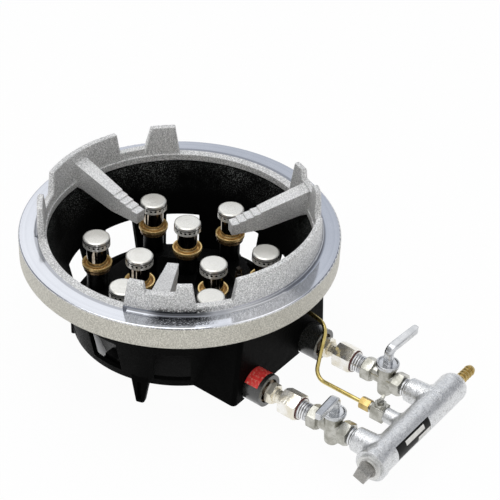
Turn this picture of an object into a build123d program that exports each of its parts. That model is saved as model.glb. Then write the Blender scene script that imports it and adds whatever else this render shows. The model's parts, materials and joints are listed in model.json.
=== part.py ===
"""Cast-iron gas burner stove with nine burner heads, two main cocks and a pilot valve.

Millimetres. +Z is up and the floor is z = 0. The burner's vertical axis is the Z axis.
The gas supply stands at the front, on the -Y side, and its manifold lies along X.
"""
from build123d import *
from math import cos, radians, sin, sqrt, tan
import os

# Pan ring: a flat ring with a rim, a wall with gaps and three stepped fingers
ring_radius = 185.0
ring_top = 160.0
ring_bore = 153.0
ring_plate = 8.0
ring_skirt = 27.3
ring_skirt_wall = 7.0
ring_edge_round = 2.0
wall_height = 38.0
wall_set_back = 1.0
wall_thick = 9.5
wall_draft = 1.4
curb_height = 11.0
curb_inset = 0.6
wall_end_slope = 2.2
tab_slope = 3.8
cast_round = 1.6
back_wall_half = 20.5
tab_angle = 42.2
tab_half = 5.4
finger_spread = 122.0
finger_block_half = 12.4
finger_notch_half = 5.8
finger_notch_depth = 12.0
front_wall_half = 28.3
finger_tip = 61.0
finger_tip_top = -7.0
finger_tip_depth = 14.0
finger_tip_width = 13.0
finger_root_width = 20.0
finger_step_start = 96.0
finger_step_count = 4
finger_step_riser = 1.8
finger_arch_at = 100.0
finger_arch = 19.5
finger_lip_gap = 3.0
notch_flare = 4.0
curb_lap = 2.0
wall_sink = 1.0
wall_foot_round = 5.0

# Body shell: a tapering cage with windows, legs and a square front box
seat_gap = 0.3
shell_wall = 6.0
shell_top_radius = 154.0
shell_bottom_radius = 128.0
shell_bottom = 30.0
mouth_depth = 32.0
flange_gap = 4.0
flange_thick = 7.0
window_count = 8
window_pitch = 35.6
window_turn = 1.8
window_angle = 18.5
window_top = 84.0
window_bottom = 40.5
window_round = 1.5
box_half = 87.0
box_top_half = 76.0
box_front = 152.0
box_wall = 6.0
box_corner_round = 5.0
leg_angles = (52.5, 127.5, 199.5, 340.5)
leg_top_width = 24.0
leg_foot_width = 10.5
leg_top_depth = 9.5
leg_foot_depth = 11.0
leg_overlap = 8.0
leg_round = 3.0
leg_groove = 4.6
leg_groove_depth = 3.2
leg_groove_foot = 5.0
front_leg_web = 8.0
front_leg_web_height = 18.0
shelf_inner = 115.0
shelf_width = 24.0
shelf_top = 37.0
tube_hole_gap = 1.0

# Burner casting: a six-sided main, nine bosses and two mixing tubes
supply_height = 44.0
tube_spacing = 104.6
tube_radius = 19.5
tube_bore = 14.5
tube_stub = 22.0
tube_bore_depth = 50.0
tube_throat = 11.0
tube_throat_run = 25.0
main_width = 27.0
main_top = 60.0
main_bottom = 16.0
main_ring = 98.0
outer_ring = 99.5
outer_head_angles = (2.0, 59.0, 119.5, 180.0, 240.0, 305.0)
inner_ring = 50.0
inner_head_angles = (30.0, 150.0, 270.0)
boss_radius = 12.5
boss_top = 87.0
boss_bore = 8.0
boss_passage = 4.0
boss_passage_foot = 50.0
seat_relief = 1.0
bridge_thick = 6.0
bridge_inset = 2.5
bridge_hub = 8.5
bridge_web = 4.0
bridge_web_bite = 3.0
lug_angles = (0.0, 60.0, 120.0, 180.0)
lug_reach = 121.0
lug_width = 18.0
lug_thick = 7.0

# Burner head: base, collar and cap on a common axis
base_spigot = 12.0
base_bore = 4.0
base_ring_radius = 16.2
base_ring = 3.0
base_groove = 1.2
base_groove_depth = 2.0
base_bowl_radius = 17.8
base_shoulder = 0.8
base_bowl = 4.8
base_bowl_edge = 1.0
base_bowl_foot = 1.5
base_rim = 1.5
base_dish = 2.0
base_dish_round = 1.0
base_dish_rise = 0.6
neck_taper = 1.6
neck_radius = 12.0
neck_height = 24.0
collar_radius = 16.2
collar_wall = 2.4
collar_floor = 2.0
collar_height = 8.0
collar_edge = 1.0
collar_holes = 18
collar_hole = 3.2
cap_radius = 15.7
cap_thick = 4.0
cap_bevel = 1.0
cap_spigot = 0.8

# Clearances, and how far a cutter runs past the face that it cuts
fit_clearance = 0.1
thread_relief = 0.5
cut_past = 1.0

# Gas train, from the tube's mouth towards the manifold
jet_gap = 1.2
hex_turn = 0.55
jet_hex = 22.0
jet_hex_length = 9.0
jet_radius = 5.0
jet_length = 24.0
jet_wall = 2.0
jet_nose = 4.0
jet_orifice = 1.2
tail_neck = 7.6
tail_neck_length = 11.0
tail_bead = 0.9
tail_radius = 8.8
tail_flange = 12.2
tail_flange_length = 4.0
union_nut = 28.0
union_nut_length = 23.4
union_lip = 6.0
union_bore = 13.0
joint_ring_radius = 13.0
joint_ring = 1.6
sleeve_radius = 10.5
sleeve_length = 13.0
sleeve_head = 12.7
sleeve_groove = 0.7
sleeve_groove_width = 1.4
sleeve_groove_edge = 0.2
sleeve_groove_pitch = 2.4
sleeve_groove_back = 3.2
pipe_bore = 6.0
thread_radius = 8.4
thread_depth = 8.0
nipple_length = 7.0
nipple_edge = 1.0
shutter_radius = 13.8
shutter_thick = 1.5
shutter_gap = 0.4
shutter_bore_gap = 0.3
shutter_hub = 2.5
shutter_rim = 1.5
shutter_ports = 3
shutter_port_angle = 60.0

# Plug cock and lever
cock_hex = 25.0
cock_inlet_hex = 12.5
cock_inlet = 28.5
cock_outlet_hex = 11.5
cock_outlet = 23.5
cock_waist = 9.5
barrel_top_radius = 11.4
barrel_bottom_radius = 8.6
barrel_rise = 17.0
barrel_drop = 23.0
barrel_foot = 2.0
barrel_foot_rise = 2.5
plug_top_radius = 7.8
plug_bottom_radius = 6.2
plug_clearance = 0.1
plug_floor = 3.0
plug_end_gap = 0.4
plug_top_gap = 0.6
plug_port = 5.5
plug_overrun = 0.01
plug_stem = 3.5
lever_cap_radius = 13.4
lever_cap_thick = 5.0
lever_cap_edge = 1.0
lever_cap_dish = 1.2
lever_cap_gap = 0.4
lever_rise = 22.5
lever_tip_rise = 7.0
lever_bend = 8.0
lever_reach = 45.0
lever_root_width = 11.0
lever_tip_width = 8.0
lever_thick = 7.5
lever_round = 2.8
lever_closed_skew = 9.0

# Manifold, end plug and hose barb
manifold_radius = 17.2
manifold_wall = 4.2
manifold_near = 78.0
manifold_far = 82.0
manifold_dome = 17.0
dome_swell = 0.74
dome_rise = 0.66
manifold_collar = 1.4
manifold_collar_length = 8.0
manifold_boss = 14.0
manifold_boss_root = 16.0
manifold_boss_reach = 36.0
manifold_boss_edge = 1.0
manifold_blend = 6.0
plug_flange_radius = 14.6
plug_flange = 4.0
plug_step_radius = 11.0
plug_step = 1.5
plug_thread_radius = 10.2
plug_thread = 12.0
plug_seat_wall = 2.0
plug_square = 14.5
plug_square_length = 16.0
plug_square_turn = 18.0
plug_square_edge = 1.2
barb_radius = 5.4
barb_rib = 1.2
barb_ribs = 5
barb_pitch = 5.2
barb_rib_rise = 0.6
barb_rib_flat = 1.0
barb_stub = 2.5
barb_thread = 6.0
barb_bore = 3.4
barb_seat = 3.0

# Pilot valve, nut, tube and tip
pilot_boss = 8.6
pilot_boss_reach = 32.0
pilot_body_length = 17.0
pilot_body_width = 16.0
pilot_body_height = 18.0
pilot_body_edge = 0.8
pilot_thread = 5.0
pilot_thread_length = 8.0
pilot_shoulder = 3.0
pilot_shoulder_radius = 6.5
pilot_stem_radius = 3.5
pilot_stem_depth = 11.0
pilot_stem_gap = 0.5
pilot_stem_rise = 2.5
pilot_gland_radius = 6.2
pilot_gland = 3.5
pilot_wing_span = 13.0
pilot_wing_height = 6.5
pilot_wing_thick = 3.0
pilot_wing_gap = 2.0
pilot_wing_ear = 0.6
pilot_wing_saddle = 0.7
pilot_wing_inset = 1.0
pilot_saddle_half = 1.5
flare_hex = 13.0
flare_nut_length = 13.0
flare_grip = 5.0
pilot_tube_radius = 2.4
pilot_tube_bore = 1.5
pilot_bend = 16.0
pilot_rise = 91.0
pilot_turn = 200.0
pilot_over = (35.0, -187.0)
pilot_entry = (44.0, -145.0)
pilot_inner = (24.0, -108.0)
pilot_hole = 5.5
pilot_tip_at = (24.0, -68.0)
pilot_tip_base = 108.0
pilot_tip_radius = 4.2
pilot_tip_height = 13.0
pilot_tip_skirt = 5.0
pilot_tip_step = 1.0
pilot_tip_crown = 1.5
pilot_slot_drop = 3.5
pilot_slot_width = 1.4
pilot_slot_height = 2.4

# Places worked out from the sizes above
wall_inner = ring_bore + wall_set_back
flange_radius = ring_radius - ring_skirt_wall - flange_gap
shell_top = ring_top - ring_plate - seat_gap
tube_mouth = box_front + tube_stub
hex_from = tube_mouth + jet_gap
tail_from = hex_from + jet_hex_length
nut_from = tail_from + tail_neck_length
ring_from = nut_from + union_nut_length
sleeve_from = ring_from + joint_ring
cock_from = sleeve_from + sleeve_length
cock_axis = cock_from + cock_inlet
nipple_from = cock_axis + cock_outlet
boss_from = nipple_from + nipple_length
manifold_at = boss_from + manifold_boss_reach
tail_seat = nut_from + union_lip + tail_flange_length
collar_from = boss_top + base_ring + base_groove + base_bowl + neck_height
cap_from = collar_from + collar_height
lever_cap_from = barrel_rise + lever_cap_gap
pilot_inlet = manifold_at - pilot_boss_reach
pilot_block_from = pilot_inlet - pilot_body_length
pilot_outlet = pilot_block_from - pilot_shoulder
pilot_axis = (pilot_inlet + pilot_block_from) / 2
flare_from = pilot_outlet - flare_nut_length
sides = (("near", -1), ("far", 1))


def polar(radius, angle, z=0.0):
    return (radius * cos(radians(angle)), radius * sin(radians(angle)), z)


def turned(*profile):
    """Solid of revolution about Z from (radius, height) points."""
    return revolve(make_face(Polyline(*[(r, 0, z) for r, z in profile], close=True)), Axis.Z)


def tube(outer, inner, start, end):
    return turned((inner, start), (outer, start), (outer, end), (inner, end))


def rod(radius, start, end):
    return turned((0, start), (radius, start), (radius, end), (0, end))


def hexagon(across_flats, start, end):
    """Hexagonal bar along Z with turned corners at both ends."""
    corner = across_flats / sqrt(3)
    flat = across_flats / 2
    drop = (corner - flat) * hex_turn
    bar = Pos(0, 0, start) * extrude(RegularPolygon(corner, 6, rotation=30), end - start)
    guard = turned((0, start), (flat, start), (corner, start + drop),
                   (corner, end - drop), (flat, end), (0, end))
    return bar & guard


def sector(r0, r1, a0, a1, z):
    """Flat piece of a ring between two angles."""
    mid = (a0 + a1) / 2
    return make_face([
        ThreePointArc(polar(r1, a0, z), polar(r1, mid, z), polar(r1, a1, z)),
        Line(polar(r1, a1, z), polar(r0, a1, z)),
        ThreePointArc(polar(r0, a1, z), polar(r0, mid, z), polar(r0, a0, z)),
        Line(polar(r0, a0, z), polar(r1, a0, z)),
    ])


def in_train(side, piece):
    """Turn a piece from its own Z axis to the gas train's axis, which runs along -Y."""
    return Pos(side * tube_spacing / 2, 0, supply_height) * Rot(90, 0, 0) * piece


def along_manifold(piece):
    """Turn a piece from its own Z axis to the manifold's axis, which runs along +X."""
    return Pos(0, -manifold_at, supply_height) * Rot(0, 90, 0) * piece


def on_pilot(piece):
    """Turn a piece from its own Z axis to the pilot line's axis, along -Y at x = 0."""
    return Pos(0, 0, supply_height) * Rot(90, 0, 0) * piece


def pan_ring():
    rim_in = ring_radius - ring_skirt_wall
    ring = turned((ring_bore, ring_top), (ring_radius, ring_top), (ring_radius, ring_top - ring_skirt),
                  (rim_in, ring_top - ring_skirt), (rim_in, ring_top - ring_plate),
                  (ring_bore, ring_top - ring_plate))
    top_edges = ring.edges().filter_by(GeomType.CIRCLE).group_by(Axis.Z)[-1]
    ring = fillet(top_edges.sort_by(SortBy.RADIUS)[-1], ring_edge_round)

    def wall(start, end, height, inset=0.0, slopes=(wall_end_slope, wall_end_slope)):
        low, high = min(start, end), max(start, end)
        inner, outer = wall_inner + inset, wall_inner + wall_thick - inset
        share = height / wall_height
        lean = wall_draft * share
        foot = sector(inner, outer, low - slopes[0] * share, high + slopes[1] * share, ring_top - wall_sink)
        crest = sector(inner + lean, outer - lean, low, high, ring_top + height)
        block = loft([foot, crest], ruled=True)
        return fillet(block.edges().filter_by(lambda e: e.center().Z > ring_top), cast_round)

    walls = wall(90 - back_wall_half, 90 + back_wall_half, wall_height)
    walls += wall(270 - front_wall_half, 270 + front_wall_half, wall_height)
    for turn in (-1, 1):
        tab = 90 + turn * tab_angle
        seat = 90 + turn * finger_spread
        slopes = (tab_slope, wall_end_slope)[::turn]
        walls += wall(tab - tab_half, tab + tab_half, wall_height, 0.0, slopes)
        block = wall(seat - finger_block_half, seat + finger_block_half, wall_height)
        notch_half = wall_inner * tan(radians(finger_notch_half))
        notch_floor = ring_top + wall_height - finger_notch_depth
        notch_to = -finger_notch_depth * 2
        notch_wide = notch_half + notch_flare
        notch_face = make_face(Polyline((0, -notch_half), (0, notch_half), (notch_to, notch_wide),
                                        (notch_to, -notch_wide), close=True))
        notch = extrude(notch_face, wall_thick * 2, both=True)
        notch = Pos(wall_inner, 0, notch_floor) * Rot(0, 90, 0) * notch
        walls += block - Rot(0, 0, seat) * notch
        walls += wall(90 + turn * (back_wall_half - curb_lap), tab, curb_height, curb_inset)
        curb_from = seat + turn * (finger_block_half - curb_lap)
        curb_to = 90 + turn * (180 - front_wall_half + curb_lap)
        walls += wall(curb_from, curb_to, curb_height, curb_inset)

    ring += walls
    foot = wall_inner + wall_thick - wall_draft / 2
    bend = wall_foot_round * (1 - sqrt(0.5))
    toe = foot + wall_foot_round
    sunk = ring_top - wall_sink
    heel_top = ring_top + wall_foot_round
    hollow = make_face([
        Line((foot, 0, sunk), (toe, 0, sunk)),
        Line((toe, 0, sunk), (toe, 0, ring_top)),
        ThreePointArc((toe, 0, ring_top), (foot + bend, 0, ring_top + bend), (foot, 0, heel_top)),
        Line((foot, 0, heel_top), (foot, 0, sunk)),
    ])
    back_half = tab_angle + tab_half
    front_half = 180 - finger_spread + finger_block_half
    ring += Rot(0, 0, 90 - back_half) * revolve(hollow, Axis.Z, 2 * back_half)
    ring += Rot(0, 0, 270 - front_half) * revolve(hollow, Axis.Z, 2 * front_half)
    root = wall_inner + wall_thick / 2
    root_top = wall_height - finger_notch_depth
    step_run = (finger_step_start - finger_tip) / finger_step_count
    slope_share = (finger_step_start - finger_tip) / (root - finger_tip)
    slope_end = finger_tip_top + (root_top - finger_tip_top) * slope_share
    step_drop = (slope_end - finger_tip_top) / finger_step_count
    outline = [(root, -ring_plate), (root, root_top), (finger_step_start, slope_end)]
    for step in range(finger_step_count):
        r = finger_step_start - step * step_run
        z = slope_end - step * step_drop - finger_step_riser
        outline += [(r, z), (r - step_run, z - step_drop + finger_step_riser)]
    lip = shell_top_radius - shell_wall - finger_lip_gap
    tip_foot = finger_tip_top - finger_tip_depth
    outline += [(finger_tip, tip_foot), (finger_arch_at, -finger_arch), (lip, -ring_plate)]
    side_view = make_face(Polyline(*[(r, 0, ring_top + z) for r, z in outline], close=True))
    half_root, half_tip = finger_root_width / 2, finger_tip_width / 2
    plan = make_face(Polyline((root, half_root), (finger_tip, half_tip), (finger_tip, -half_tip),
                              (root, -half_root), close=True))
    finger = extrude(side_view, finger_root_width, both=True) & extrude(plan, ring_top + wall_height)
    for angle in (90, 90 + finger_spread, 90 - finger_spread):
        ring += Rot(0, 0, angle) * finger
    return ring


def body_shell():
    cone_top = shell_top - flange_thick
    outer = turned((0, shell_bottom), (shell_bottom_radius, shell_bottom), (shell_top_radius, cone_top),
                   (flange_radius, cone_top), (flange_radius, shell_top), (0, shell_top))

    def box(inset, low, high):
        """The front box, narrower at the top, with its walls drawn in by an inset."""
        deep = box_front - inset
        ends = []
        for z in (low, high):
            share = (z - shell_bottom) / (cone_top - shell_bottom)
            half = box_half + (box_top_half - box_half) * share - inset
            ends.append(Pos(0, -deep / 2, z) * RectangleRounded(2 * half, deep, box_corner_round))
        return loft(ends, ruled=True)

    outer += box(0, shell_bottom, cone_top)
    foot_in = shell_bottom_radius - shell_wall
    mouth_from = shell_top - mouth_depth
    mouth_share = (mouth_from - shell_bottom) / (cone_top - shell_bottom)
    mouth_in = foot_in + (shell_top_radius - shell_bottom_radius) * mouth_share
    inner = turned((0, 0), (foot_in, 0), (foot_in, shell_bottom), (mouth_in, mouth_from),
                   (ring_bore, shell_top), (ring_bore, ring_top), (0, ring_top))
    inner += box(box_wall, 0, cone_top)
    shell = outer - inner

    window_width = 2 * shell_bottom_radius * sin(radians(window_angle / 2))
    window_high = window_top - window_bottom
    opening = extrude(RectangleRounded(window_high, window_width, window_round), shell_top_radius)
    window_at = Pos(shell_bottom_radius - 2 * shell_wall, 0, (window_top + window_bottom) / 2)
    opening = window_at * Rot(0, 90, 0) * opening
    for i in range(window_count):
        angle = 90 + window_turn + (i - (window_count - 1) / 2) * window_pitch
        shell -= Rot(0, 0, angle) * opening

    def leg(radius):
        foot = Pos(radius, 0, 0) * RectangleRounded(leg_foot_depth, leg_foot_width, leg_round)
        head = RectangleRounded(leg_top_depth, leg_top_width, leg_round)
        post = loft([foot, Pos(radius, 0, shell_bottom + leg_overlap) * head], ruled=True)
        groove_high = shell_bottom - leg_groove_foot
        groove = Box(leg_foot_depth, leg_groove, groove_high, align=(Align.MIN, Align.CENTER, Align.MIN))
        floor = radius + leg_foot_depth / 2 - leg_groove_depth
        return post - Pos(floor, 0, leg_groove_foot) * groove

    leg_radius = shell_bottom_radius - shell_wall / 2
    for angle in leg_angles:
        shell += Rot(0, 0, angle) * leg(leg_radius) - inner
    shell += Rot(0, 0, 270) * leg(leg_radius)
    web_length = box_front - box_wall / 2 - leg_radius
    web = extrude(Rectangle(front_leg_web, web_length), front_leg_web_height)
    shell += Pos(0, -leg_radius - web_length / 2, shell_bottom) * web
    shelf_length = leg_radius - shelf_inner
    shelf = extrude(Rectangle(shelf_length, shelf_width), shelf_top - shell_bottom)
    for angle in lug_angles:
        shell += Rot(0, 0, angle) * Pos(shelf_inner + shelf_length / 2, 0, shell_bottom) * shelf

    plate_at = box_front - box_wall / 2
    pilot_share = (plate_at + pilot_entry[1]) / (pilot_entry[1] - pilot_over[1])
    pilot_x = pilot_entry[0] + (pilot_over[0] - pilot_entry[0]) * pilot_share
    holes = Pos(pilot_x, pilot_rise) * Circle(pilot_hole)
    for side in (-1, 1):
        holes += Pos(side * tube_spacing / 2, supply_height) * Circle(tube_radius + tube_hole_gap)
    return shell - Pos(0, -plate_at, 0) * Rot(90, 0, 0) * extrude(holes, box_wall, both=True)


def head_places():
    places = []
    for i, angle in enumerate(outer_head_angles):
        places.append((f"outer_head_{i + 1}", polar(outer_ring, angle)))
    for i, angle in enumerate(inner_head_angles):
        places.append((f"inner_head_{i + 1}", polar(inner_ring, angle)))
    return places


def burner_main():
    """The six-sided main with its three arms."""
    half = main_width / 2
    slant = half / cos(radians(30))
    high = main_top - main_bottom
    flat = RegularPolygon(main_ring + slant, 6) - RegularPolygon(main_ring - slant, 6)
    main = Pos(0, 0, main_bottom) * extrude(flat, high)
    arm = Pos(inner_ring / 2, 0, main_bottom) * extrude(Rectangle(inner_ring, main_width), high)
    link_length = main_ring * cos(radians(30)) - inner_ring
    link = Pos(inner_ring + link_length / 2, 0, main_bottom) * extrude(Rectangle(link_length, half), high)
    for angle in inner_head_angles:
        main += Rot(0, 0, angle) * (arm + link)
        main += Pos(*polar(inner_ring, angle)) * rod(half, main_bottom, main_top)
    return main


def burner_casting():
    casting = burner_main()
    main_at = main_ring * cos(radians(30))
    for side in (-1, 1):
        casting += in_train(side, rod(tube_radius, main_at, tube_mouth))
    lug_length = lug_reach - main_ring
    lug = extrude(Rectangle(lug_length, lug_width), lug_thick)
    for angle in lug_angles:
        casting += Rot(0, 0, angle) * Pos(main_ring + lug_length / 2, 0, shelf_top) * lug
    for name, place in head_places():
        casting += Pos(*place) * rod(boss_radius, main_bottom, boss_top)
    seat_from = boss_top - base_spigot - seat_relief
    seat = boss_bore + fit_clearance
    gas_way = rod(boss_passage, boss_passage_foot, boss_top)
    gas_way += rod(seat, seat_from, boss_top + seat_relief)
    for name, place in head_places():
        casting -= Pos(*place) * gas_way
    bore_end = tube_mouth - tube_bore_depth
    bore = turned((0, main_at), (tube_throat, main_at), (tube_throat, bore_end - tube_throat_run),
                  (tube_bore, bore_end), (tube_bore, tube_mouth + seat_relief),
                  (0, tube_mouth + seat_relief))
    for side in (-1, 1):
        casting -= in_train(side, bore)
    bridge_to = tube_mouth - bridge_inset - shutter_thick - shutter_gap
    bridge = tube(bridge_hub, jet_radius + fit_clearance, bridge_to - bridge_thick, bridge_to)
    web_length = tube_bore - bridge_hub + bridge_web_bite
    web = extrude(Rectangle(web_length, bridge_web), bridge_thick)
    web = Pos((bridge_hub + tube_bore) / 2, 0, bridge_to - bridge_thick) * web
    for i in range(shutter_ports):
        bridge += Rot(0, 0, 90 + i * 360 / shutter_ports) * web
    for side in (-1, 1):
        casting += in_train(side, bridge)
    return casting


def head_base():
    spigot_from = boss_top - base_spigot
    ring_to = boss_top + base_ring
    bowl_from = ring_to + base_groove
    bowl_to = bowl_from + base_bowl
    dish_from = bowl_from + base_dish
    groove = base_ring_radius - base_groove_depth
    shoulder = neck_radius + base_shoulder
    stem = [(base_bore, spigot_from), (boss_bore, spigot_from), (boss_bore, boss_top)]
    ring = [(base_ring_radius, boss_top), (base_ring_radius, ring_to), (groove, ring_to)]
    bowl = [(groove, bowl_from), (base_bowl_radius - base_bowl_edge, bowl_from),
            (base_bowl_radius, bowl_from + base_bowl_foot), (base_bowl_radius, bowl_to),
            (base_bowl_radius - base_rim, bowl_to), (shoulder + base_dish_round, dish_from)]
    neck = [(shoulder, dish_from + base_dish_rise), (shoulder, bowl_to),
            (neck_radius, bowl_to + neck_taper), (neck_radius, collar_from), (base_bore, collar_from)]
    return turned(*stem, *ring, *bowl, *neck)


def head_collar():
    inside = collar_radius - collar_wall
    floor = collar_from + collar_floor
    cup = turned((pipe_bore, collar_from), (collar_radius - collar_edge, collar_from),
                 (collar_radius, collar_from + collar_edge), (collar_radius, cap_from),
                 (inside, cap_from), (inside, floor), (pipe_bore, floor))
    hole = Rot(0, 90, 0) * Cylinder(collar_hole / 2, 2 * (collar_radius + cut_past))
    hole = Pos(0, 0, (floor + cap_from) / 2) * hole
    for i in range(collar_holes // 2):
        cup -= Rot(0, 0, (i + 0.5) * 360 / collar_holes) * hole
    return cup


def head_cap():
    top = cap_from + cap_thick
    seat = collar_radius - collar_wall - fit_clearance
    spigot_from = cap_from - cap_spigot
    under = [(0, spigot_from), (seat, spigot_from), (seat, cap_from), (cap_radius, cap_from)]
    edge = [(cap_radius, top - cap_bevel), (cap_radius - cap_bevel, top - cap_bevel / 3),
            (cap_radius - 2 * cap_bevel, top)]
    return turned(*under, *edge, (0, top))


def air_shutter():
    back = tube_mouth - bridge_inset - shutter_thick
    disc = tube(shutter_radius, jet_radius + shutter_bore_gap, back, back + shutter_thick)
    half = shutter_port_angle / 2
    face = sector(jet_radius + shutter_hub, shutter_radius - shutter_rim, -half, half, back - cut_past)
    port = extrude(face, shutter_thick + 2 * cut_past)
    for i in range(shutter_ports):
        disc -= Rot(0, 0, 90 + i * 360 / shutter_ports) * port
    return disc


def jet():
    tip = hex_from - jet_length
    body = hexagon(jet_hex, hex_from, tail_from) + rod(jet_radius, tip, hex_from)
    body -= rod(jet_radius - jet_wall, tip + jet_nose, tail_from)
    return body - rod(jet_orifice, tip - cut_past, hex_from)


def union_tail():
    bead = tail_neck + tail_bead
    third = tail_neck_length / 3
    edge = tail_bead / 2
    body = turned((0, tail_from), (bead, tail_from), (bead, tail_from + third - edge),
                  (tail_neck, tail_from + third), (tail_neck, nut_from - third),
                  (bead, nut_from - third + edge), (bead, nut_from), (0, nut_from))
    body += rod(tail_radius, nut_from, tail_seat - tail_flange_length)
    body += rod(tail_flange, tail_seat - tail_flange_length, tail_seat)
    return body - rod(pipe_bore, tail_from - cut_past, tail_seat + cut_past)


def union_nut_piece():
    body = hexagon(union_nut, nut_from, ring_from)
    body -= rod(tail_radius + fit_clearance, nut_from - cut_past, nut_from + union_lip)
    return body - rod(union_bore, nut_from + union_lip, ring_from + cut_past)


def joint_ring_piece():
    return tube(joint_ring_radius, sleeve_radius + fit_clearance, ring_from, sleeve_from)


def union_sleeve():
    groove = sleeve_radius - sleeve_groove
    groove_at = cock_from - sleeve_groove_back
    thread_to = cock_from + thread_depth
    outside = [(sleeve_head, tail_seat), (sleeve_head, ring_from), (sleeve_radius, ring_from)]
    for start in (groove_at - sleeve_groove_pitch, groove_at):
        end = start + sleeve_groove_width
        outside += [(sleeve_radius, start), (groove, start + sleeve_groove_edge)]
        outside += [(groove, end - sleeve_groove_edge), (sleeve_radius, end)]
    outside += [(sleeve_radius, cock_from), (thread_radius, cock_from), (thread_radius, thread_to)]
    return turned((pipe_bore, tail_seat), *outside, (pipe_bore, thread_to))


def plug_bore_radius(height):
    """Radius of the tapered plug at a height above the train's axis."""
    share = (height + barrel_drop - plug_floor) / (barrel_rise + barrel_drop - plug_floor)
    return plug_bottom_radius + (plug_top_radius - plug_bottom_radius) * share


def cock_body():
    run = hexagon(cock_hex, cock_from, cock_from + cock_inlet_hex)
    run += hexagon(cock_hex, nipple_from - cock_outlet_hex, nipple_from)
    run += rod(cock_waist, cock_from + cock_inlet_hex / 2, nipple_from - cock_outlet_hex / 2)
    run = Rot(90, 0, 0) * run
    barrel = turned((0, -barrel_drop), (barrel_bottom_radius - barrel_foot, -barrel_drop),
                    (barrel_bottom_radius, -barrel_drop + barrel_foot_rise),
                    (barrel_top_radius, barrel_rise), (0, barrel_rise))
    run += Pos(0, -cock_axis, 0) * barrel
    thread = thread_radius + fit_clearance
    thread_run = thread_depth + thread_relief
    bore = rod(pipe_bore, cock_from - cut_past, nipple_from + cut_past)
    bore += rod(thread, cock_from - cut_past, cock_from + thread_run)
    bore += rod(thread, nipple_from - thread_run, nipple_from + cut_past)
    run -= Rot(90, 0, 0) * bore
    floor = -barrel_drop + plug_floor
    top = barrel_rise + plug_overrun
    taper = turned((0, floor), (plug_bore_radius(floor) + plug_clearance, floor),
                   (plug_bore_radius(barrel_rise) + plug_clearance, top), (0, top))
    return run - Pos(0, -cock_axis, 0) * taper


def cock_plug():
    floor = -barrel_drop + plug_floor + plug_end_gap
    top = barrel_rise - plug_top_gap
    stem_to = lever_cap_from + lever_cap_thick - lever_cap_dish - lever_cap_edge - fit_clearance
    body = turned((0, floor), (plug_bore_radius(floor), floor), (plug_bore_radius(top), top),
                  (plug_stem, top), (plug_stem, stem_to), (0, stem_to))
    return body - Rot(0, 90, 0) * Cylinder(plug_port, 4 * plug_top_radius)


def cock_lever():
    cap_to = lever_cap_from + lever_cap_thick
    rim, edge = lever_cap_radius, lever_cap_edge
    dish = cap_to - lever_cap_dish
    lip = rim - 2 * edge
    cap = turned((0, lever_cap_from), (rim - edge, lever_cap_from), (rim, lever_cap_from + edge),
                 (rim, cap_to - edge), (rim - edge, cap_to), (lip, cap_to),
                 (lip - lever_cap_dish, dish), (0, dish))
    elbow = cap_to + lever_rise - lever_thick / 2
    neck_from = lever_cap_from + edge
    tip = (lever_reach, 0, elbow + lever_tip_rise)
    path = FilletPolyline((0, 0, neck_from), (0, 0, elbow), tip, radius=lever_bend)
    section = Pos(0, 0, neck_from) * RectangleRounded(lever_thick, lever_root_width, lever_round)
    arm = sweep(section, path)
    half_root, half_tip = lever_root_width / 2, lever_tip_width / 2
    round_from = lever_reach - half_tip
    plan = make_face([
        Line((-half_root, half_root), (half_root, half_root)),
        Line((half_root, half_root), (round_from, half_tip)),
        ThreePointArc((round_from, half_tip), (lever_reach, 0), (round_from, -half_tip)),
        Line((round_from, -half_tip), (half_root, -half_root)),
        Line((half_root, -half_root), (-half_root, -half_root)),
        Line((-half_root, -half_root), (-half_root, half_root)),
    ])
    arm = arm & extrude(plan, elbow + lever_tip_rise + lever_thick)
    return cap + arm - rod(plug_stem + fit_clearance, lever_cap_from - cut_past, dish - edge)


def nipple():
    thread_from, thread_to = nipple_from - thread_depth, boss_from + thread_depth
    end = sleeve_radius - nipple_edge / 2
    return turned((pipe_bore, thread_from), (thread_radius, thread_from), (thread_radius, nipple_from),
                  (end, nipple_from), (sleeve_radius, nipple_from + nipple_edge),
                  (sleeve_radius, boss_from - nipple_edge), (end, boss_from),
                  (thread_radius, boss_from), (thread_radius, thread_to), (pipe_bore, thread_to))


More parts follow.
